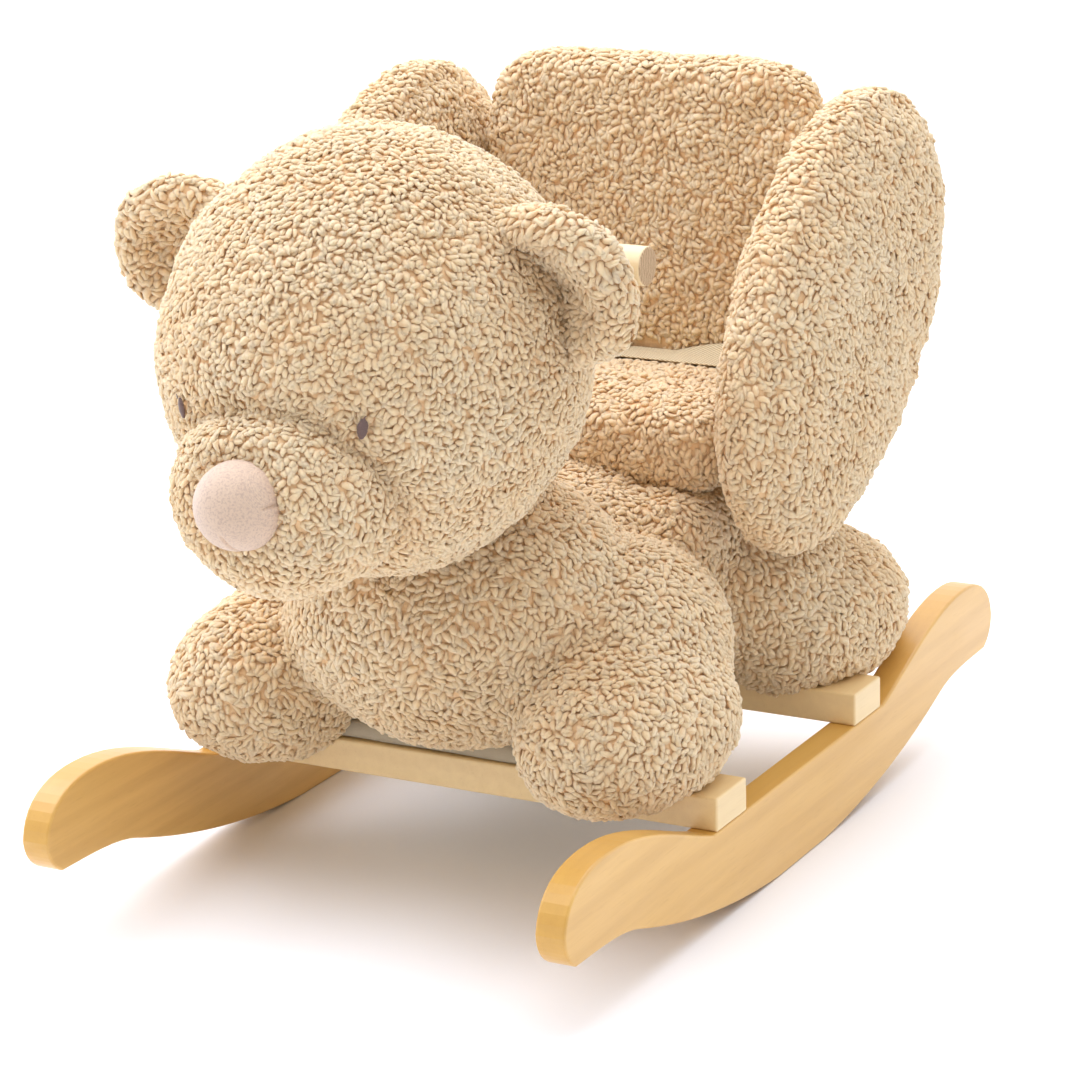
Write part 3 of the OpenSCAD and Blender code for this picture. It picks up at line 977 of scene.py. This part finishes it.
trunk, SKIN = make_body_and_legs()
SHELLS = {"head": make_head(), "muzzle": make_muzzle(), **trunk}
SHELLS["seat_cushion"] = make_seat()
SHELLS["backrest_cushion"] = make_back()
for seed, wing in enumerate(["wing_left", "wing_right"]):
    SHELLS[wing] = make_wing(wing, 20 + seed)
for ear in ("ear_left", "ear_right"):
    SHELLS[ear] = make_ear(ear)

head_tree, muzzle_tree = tree_of(SHELLS["head"]), tree_of(SHELLS["muzzle"])
pinch(SHELLS["head"], muzzle_tree, 4.5 * MM, 9 * MM)
pinch(SHELLS["muzzle"], head_tree, 3.5 * MM, 8 * MM)

for node, shell in SHELLS.items():
    smooth_shading(shell)
    dress(shell, backing)
    shell.data.materials.append(backing)
    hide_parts(node)

# ---------------------------------------------------------------- nose and eyes

NOSE_LOW, NOSE_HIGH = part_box("nose")
NOSE_R = 24.0 * MM
NOSE_AT = Vector((0, NOSE_LOW.y + NOSE_R, (NOSE_LOW.z + NOSE_HIGH.z) / 2 - 0.3 * MM))
DARTS = ((math.radians(-80), 0.35), (math.radians(9), 0.98))    # direction, start


def make_nose():
    """A stuffed jersey ball set into the muzzle, with two short darts."""
    rings, around = 64, 224
    verts, faces = [], []
    for i in range(1, rings + 1):
        a = math.radians(126) * i / rings
        for j in range(around):
            b = 2 * math.pi * j / around
            dart = 0.0
            for where, start in DARTS:
                off = math.atan2(math.sin(b - where), math.cos(b - where)) * math.sin(a)
                near = max(0.0, min(1.0, (a - start) / 0.25))
                dart += near * (math.exp(-(off / 0.036) ** 2) + 0.22 * math.exp(-(off / 0.2) ** 2))
            r = NOSE_R - 1.4 * MM * dart * max(0.0, min(1.0, (1.75 - a) / 0.3))
            verts.append(NOSE_AT + Vector((r * math.sin(a) * math.cos(b), -r * math.cos(a),
                                           r * math.sin(a) * math.sin(b))))
    for i in range(rings - 1):
        for j in range(around):
            k = (j + 1) % around
            faces.append((i * around + j, (i + 1) * around + j, (i + 1) * around + k,
                          i * around + k))
    faces.append(tuple(range(around))[::-1])
    faces.append(tuple(range((rings - 1) * around, rings * around)))
    piece = new_piece("nose_jersey", verts, faces)
    bm = bmesh.new()
    bm.from_mesh(piece.data)
    bmesh.ops.recalc_face_normals(bm, faces=bm.faces)
    bm.to_mesh(piece.data)
    bm.free()
    return lump(smooth_shading(piece), 0.02, 0.5 * MM, 41)


def seat_nose(muzzle):
    """Draws the muzzle in round the nose, where it is sewn on."""
    co = coords(muzzle)
    beside = np.hypot(co[:, 0] - NOSE_AT.x, co[:, 2] - NOSE_AT.z)
    outside = np.maximum(0, beside - NOSE_R)
    in_front = co[:, 1] < NOSE_AT.y + 0.6 * NOSE_R
    co[:, 1] += in_front * 7 * MM * np.exp(-(outside / (8 * MM)) ** 2)
    set_coords(muzzle, co)


def tube_into(verts, faces, path, radii, sides=6):
    """A closed tube along a path, for a strand of thread."""
    base = len(verts)
    for i, p in enumerate(path):
        ahead = (path[min(i + 1, len(path) - 1)] - path[max(i - 1, 0)]).normalized()
        u = ahead.cross(Vector((0.31, 0.87, 0.39))).normalized()
        v = ahead.cross(u)
        for j in range(sides):
            t = 2 * math.pi * j / sides
            verts.append(p + (u * math.cos(t) + v * math.sin(t)) * radii[i])
    for i in range(len(path) - 1):
        for j in range(sides):
            k = (j + 1) % sides
            a, b = base + i * sides, base + (i + 1) * sides
            faces.append((a + j, a + k, b + k, b + j))
    faces.append(tuple(base + j for j in range(sides))[::-1])
    faces.append(tuple(base + (len(path) - 1) * sides + j for j in range(sides)))


def eye_places():
    """Centre and outward direction of each eye, from the CAD eyes on the head."""
    co = coords(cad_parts["eyes"])
    centre, radii = middle("head"), half("head")
    places = []
    for side in (-1, 1):
        spot = Vector(co[co[:, 0] * side > 0].mean(axis=0))
        out = Vector([(spot[k] - centre[k]) / radii[k] ** 2 for k in range(3)]).normalized()
        places.append((spot, out, side))
    return places


def make_eyes():
    """Two upright ovals of satin stitches, each with one stray thread end."""
    rng = np.random.default_rng(7)
    verts, faces = [], []
    rows, tall, wide = 17, 5.2 * MM, 2.9 * MM
    for spot, out, side in eye_places():
        up = (Vector((0, 0, 1)) - out * out.z).normalized()
        across = up.cross(out)
        up = (up + across * 0.12 * side).normalized()
        for i in range(rows):
            t = -1 + 2 * i / (rows - 1)
            reach = wide * math.sqrt(max(0.12, 1 - t * t)) * rng.uniform(0.92, 1.06)
            path, radii = [], []
            for k in range(9):
                w = -1 + 2 * k / 8
                lift = (1.5 * (1 - w * w) * (1 - 0.5 * t * t) - 0.9) * MM
                path.append(spot + up * (t * tall + 0.12 * MM * w) + across * (w * reach)
                            + out * lift)
                radii.append(0.46 * MM * (1 - 0.35 * abs(w) ** 3))
            tube_into(verts, faces, path, radii)
        path = [spot + up * (tall + 0.45 * MM * k) + across * side * 0.06 * MM * k * k
                + out * (0.9 - 0.08 * k) * MM for k in range(6)]
        tube_into(verts, faces, path, [0.3 * MM] * 5 + [0.12 * MM])
    return smooth_shading(new_piece("eyes_stitched", verts, faces))


def sink_eyes(head):
    """The stitches pull a small dimple into the head."""
    co, no = coords(head), normals(head)
    for spot, out, side in eye_places():
        far = np.linalg.norm(co - np.array(spot), axis=1)
        co -= no * (2.6 * MM * np.exp(-(far / (9 * MM)) ** 2))[:, None]
    set_coords(head, co)


def off_the_eyes(points):
    keep = np.ones(len(points), bool)
    for spot, out, side in eye_places():
        off = (points - np.array(spot)) / np.array((3.4, 8.0, 5.4)) / MM
        keep &= np.linalg.norm(off, axis=1) > 1
    return keep


nose = dress(make_nose(), nose_cloth)
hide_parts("nose")
eyes = dress(make_eyes(), eye_thread)
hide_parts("eyes")
seat_nose(SHELLS["muzzle"])
sink_eyes(SHELLS["head"])


# ---------------------------------------------------------------- growing the pile

# spacing, length and width of the tufts, in millimetres
FINE = (2.5, 6.4, 3.8)
MEDIUM = (2.75, 7.2, 4.2)
COARSE = (2.8, 7.6, 4.2)
PILES = {
    "head": FINE, "muzzle": FINE, "ear_left": COARSE, "ear_right": COARSE,
    "body": COARSE, "leg_front_left": COARSE, "leg_front_right": COARSE,
    "leg_rear_left": COARSE, "leg_rear_right": COARSE,
    "seat_cushion": MEDIUM, "backrest_cushion": MEDIUM,
    "wing_left": MEDIUM, "wing_right": MEDIUM,
}
TOUCHING = {
    "head": ["muzzle", "ear_left", "ear_right", "skin"],
    "muzzle": ["head", "skin", "nose"],
    "ear_left": ["head"], "ear_right": ["head"],
    "body": ["head", "seat_cushion", "backrest_cushion", "wing_left", "wing_right"],
    "leg_front_left": [], "leg_front_right": [],
    "leg_rear_left": ["wing_left"], "leg_rear_right": ["wing_right"],
    "seat_cushion": ["skin", "backrest_cushion", "wing_left", "wing_right"],
    "backrest_cushion": ["seat_cushion", "wing_left", "wing_right", "skin"],
    "wing_left": ["skin", "backrest_cushion", "seat_cushion"],
    "wing_right": ["skin", "backrest_cushion", "seat_cushion"],
}
belt_low, belt_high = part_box("belt_left")
UNDER_BELT = [(Vector((-belt_high.x, belt_low.y + 4 * MM, belt_high.z - 12 * MM)),
               Vector((belt_high.x, belt_high.y + 1 * MM, belt_high.z + 12 * MM)))]
tail_low, tail_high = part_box("belt_tail")
TAIL_WAY = [(tail_low - Vector((4, 5, 4)) * MM, tail_high + Vector((24, 2.5, 2.5)) * MM)]
BARE = {"seat_cushion": UNDER_BELT, "backrest_cushion": TAIL_WAY}
TREES = {node: tree_of(shell) for node, shell in SHELLS.items()}
TREES["skin"] = SKIN
TREES["nose"] = tree_of(nose)
for seed, (node, shell) in enumerate(SHELLS.items()):
    spacing, length, width = (v * MM for v in PILES[node])
    if node not in [*LEGS, "body"]:
        lump(shell, 5 * spacing, 1.3 * MM, 50 + seed)
    grow_pile(shell, 100 + seed, spacing, length, width,
              bare=BARE.get(node, ()),
              neighbours=[TREES[n] for n in TOUCHING[node]])


# ---------------------------------------------------------------- wood

def eased(node, name, width=1.6 * MM, segments=3, planes=(0,), need=1):
    """A copy of a CAD piece with the sharp edges of its outline rounded over.

    An edge is rounded when it lies on at least `need` of the box's faces across
    the axes in `planes`, so the edges of holes stay as they are.
    """
    bm = bmesh.new()
    bm.from_mesh(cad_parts[node].data)
    bmesh.ops.remove_doubles(bm, verts=bm.verts, dist=0.01 * MM)
    bmesh.ops.dissolve_limit(bm, angle_limit=math.radians(0.5), verts=bm.verts,
                             edges=bm.edges)
    low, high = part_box(node)
    outline = []
    for edge in bm.edges:
        if len(edge.link_faces) != 2 or edge.calc_face_angle() < math.radians(55):
            continue
        ends = [v.co for v in edge.verts]
        on = sum(any(all(abs(p[k] - face[k]) < 0.01 * MM for p in ends)
                     for face in (low, high)) for k in planes)
        if on >= need:
            outline.append(edge)
    bmesh.ops.bevel(bm, geom=outline, offset=width, segments=segments, profile=0.5,
                    affect="EDGES", clamp_overlap=True)
    return from_bmesh(name, bm)


for side in ("left", "right"):
    runner = eased(f"runner_{side}", f"runner_{side}_wood")
    dress(runner, runner_wood)
    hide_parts(f"runner_{side}")

for end in ("front", "rear"):
    slat = eased(f"slat_{end}", f"slat_{end}_wood", 1.4 * MM, 3, (0, 1, 2), 2)
    dress(slat, pale_wood)
    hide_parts(f"slat_{end}")


# ---------------------------------------------------------------- cover and belt

def make_cover():
    """The cotton sleeve over the base board, soft at its edges."""
    bm = bmesh.new()
    box_into(bm, middle("base_cover"), 2 * half("base_cover"), 4 * MM)
    cover = remesh(from_bmesh("base_cotton", bm), 2.2 * MM, 2)
    return lump(smooth_shading(cover), 0.03, 0.7 * MM, 61)


cover = dress(make_cover(), cotton)
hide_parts("base_cover")


def make_webbing(name, path, low_y, high_y, rear_lift=0.0):
    """Ribbed cotton webbing along a path of (x, z) points, given in order."""
    fine = []
    for (x0, z0), (x1, z1) in zip(path, path[1:]):
        steps = max(1, round(math.hypot(x1 - x0, z1 - z0) / (0.28 * MM)))
        fine += [(x0 + (x1 - x0) * k / steps, z0 + (z1 - z0) * k / steps)
                 for k in range(steps)]
    fine.append(path[-1])
    across, thick = 22, 1.5 * MM
    verts, faces, run = [], [], 0.0
    for i, (x, z) in enumerate(fine):
        xa, za = fine[max(i - 1, 0)]
        xb, zb = fine[min(i + 1, len(fine) - 1)]
        size = math.hypot(xb - xa, zb - za)
        nx, nz = -(zb - za) / size, (xb - xa) / size
        if i:
            run += math.hypot(x - fine[i - 1][0], z - fine[i - 1][1])
        for j in range(2 * across):
            top = j < across
            t = (j if top else 2 * across - 1 - j) / (across - 1)
            y = low_y + (high_y - low_y) * t
            rib = math.sin(2 * math.pi * (run + 0.55 * abs(t - 0.5) * (high_y - low_y))
                           / (1.9 * MM))
            edge = 1 - abs(2 * t - 1) ** 8
            out = (thick / 2 * (0.45 + 0.55 * edge) + 0.26 * MM * rib * edge)
            out *= 1 if top else -1
            free = max(0.0, (abs(x) - 26 * MM) / (86 * MM))
            bow = rear_lift * t ** 2 * math.sin(math.pi * min(1.0, free))
            verts.append(Vector((x + nx * out, y, z + nz * out + bow)))
    n = 2 * across
    for i in range(len(fine) - 1):
        for j in range(n):
            k = (j + 1) % n
            faces.append((i * n + j, i * n + k, (i + 1) * n + k, (i + 1) * n + j))
    faces.append(tuple(range(n))[::-1])
    faces.append(tuple((len(fine) - 1) * n + j for j in range(n)))
    piece = new_piece(name, verts, faces)
    bm = bmesh.new()
    bm.from_mesh(piece.data)
    bmesh.ops.recalc_face_normals(bm, faces=bm.faces)
    bm.to_mesh(piece.data)
    bm.free()
    return smooth_shading(piece)


def belt_path(start, outer, top, foot, bend=7 * MM):
    """Along the seat from start, round the cushion's edge and down to its foot."""
    side = 1 if outer > start else -1
    path = [(start, top)]
    path += [(outer - side * bend * (1 - math.sin(t)), top - bend * (1 - math.cos(t)))
             for t in (math.pi / 2 * k / 8 for k in range(9))]
    return path + [(outer, foot)]


for side in ("left", "right"):
    low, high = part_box(f"belt_{side}")
    start, outer = (low.x, high.x) if side == "left" else (high.x, low.x)
    sign = 1 if side == "left" else -1
    path = belt_path(start, outer - sign * 0.8 * MM, high.z - 0.8 * MM, low.z)
    strap = make_webbing(f"belt_{side}_webbing", path, low.y, high.y, 8 * MM)
    dress(strap, webbing)
    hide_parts(f"belt_{side}")

low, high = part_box("belt_tail")
tail = make_webbing("belt_tail_webbing", [(low.x, (low.z + high.z) / 2),
                                          (high.x, (low.z + high.z) / 2)], low.y, high.y)
dress(tail, webbing, PLUG_BODY)
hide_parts("belt_tail")

for part, body in (("buckle_socket", BODY), ("buckle_plug", PLUG_BODY)):
    shell = eased(part, f"{part}_moulded", 0.8 * MM, 3, (0, 1, 2), 1)
    dress(shell, buckle_plastic, body)
    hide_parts(part)

PLAIN_NODES = {
    "handlebar": dowel_wood,
    "runner_screws": zinc, "base_screws": zinc, "seat_screws": zinc,
    "base_board": plywood, "upright_left": plywood, "upright_right": plywood,
    "head_post": plywood, "seat_board": plywood, "backrest_board": plywood,
    "wing_board_left": plywood, "wing_board_right": plywood,
}
for node, material in PLAIN_NODES.items():
    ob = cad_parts[node]
    ob.data.materials.clear()
    ob.data.materials.append(material)


# ---------------------------------------------------------------- studio

def look_from(azimuth, elevation, target, distance, roll, lens):
    az, el = math.radians(azimuth), math.radians(elevation)
    out = Vector((math.sin(az) * math.cos(el), -math.cos(az) * math.cos(el), math.sin(el)))
    right = (-out).cross(Vector((0, 0, 1))).normalized()
    up = right.cross(-out)
    r = math.radians(roll)
    right, up = right * math.cos(r) + up * math.sin(r), up * math.cos(r) - right * math.sin(r)
    data = bpy.data.cameras.new("camera")
    data.sensor_width = 36
    data.lens = lens
    camera = bpy.data.objects.new("camera", data)
    scene.collection.objects.link(camera)
    turn = Matrix((right, up, out)).transposed().to_4x4()
    camera.matrix_world = Matrix.Translation(Vector(target) + out * distance) @ turn
    scene.camera = camera


def area_light(name, place, target, size, power, colour=(1, 1, 1)):
    data = bpy.data.lights.new(name, "AREA")
    data.shape = "SQUARE"
    data.size = size
    data.energy = power
    data.color = colour
    light = bpy.data.objects.new(name, data)
    scene.collection.objects.link(light)
    light.location = place
    light.rotation_euler = (Vector(target) - Vector(place)).to_track_quat("-Z", "Y").to_euler()


def make_studio():
    floor = new_piece("floor", [(-6, -6, 0), (6, -6, 0), (6, 6, 0), (-6, 6, 0)], [(0, 1, 2, 3)])
    m = Nodes("floor_pale")
    m.set(Base_Color=m.mix(m.noise(3, 2), srgb(246, 246, 246), srgb(250, 250, 250)))
    m.set(Roughness=m.spread(m.noise(8, 2), 0.3, 0.7, 0.7, 0.8))
    floor.data.materials.append(m.material)
    world = bpy.data.worlds.new("studio")
    scene.world = world
    world.use_nodes = True
    nodes, links = world.node_tree.nodes, world.node_tree.links
    toward = nodes.new("ShaderNodeVectorMath")
    toward.operation = "DOT_PRODUCT"
    links.new(nodes.new("ShaderNodeTexCoord").outputs["Generated"], toward.inputs[0])
    toward.inputs[1].default_value = (-0.42, 0.50, 0.75)
    glow = nodes.new("ShaderNodeMapRange")
    links.new(toward.outputs["Value"], glow.inputs["Value"])
    for key, number in (("From Min", -0.4), ("From Max", 0.75), ("To Min", 0.34), ("To Max", 1.35)):
        glow.inputs[key].default_value = number
    tint = nodes.new("ShaderNodeMix")
    tint.data_type = "RGBA"
    links.new(glow.outputs["Result"], tint.inputs["Factor"])
    tint.inputs[6].default_value = (1, 0.89, 0.72, 1)
    tint.inputs[7].default_value = (0.99, 1.0, 1.06, 1)
    background = nodes["Background"]
    links.new(tint.outputs[2], background.inputs["Color"])
    links.new(glow.outputs["Result"], background.inputs["Strength"])
    centre = (0, 0, 0.2)
    area_light("key", (-2.0, 0.0, 1.9), centre, 2.6, 32, (0.99, 1.02, 1.14))
    area_light("top", (-0.2, 0.2, 2.4), centre, 2.8, 43, (0.99, 1.02, 1.14))
    scene.view_settings.view_transform = "Standard"


look_from(28.64, 16.89, (-0.0218, 0.0657, 0.160), 2.297, -1.63, 125.95)
make_studio()
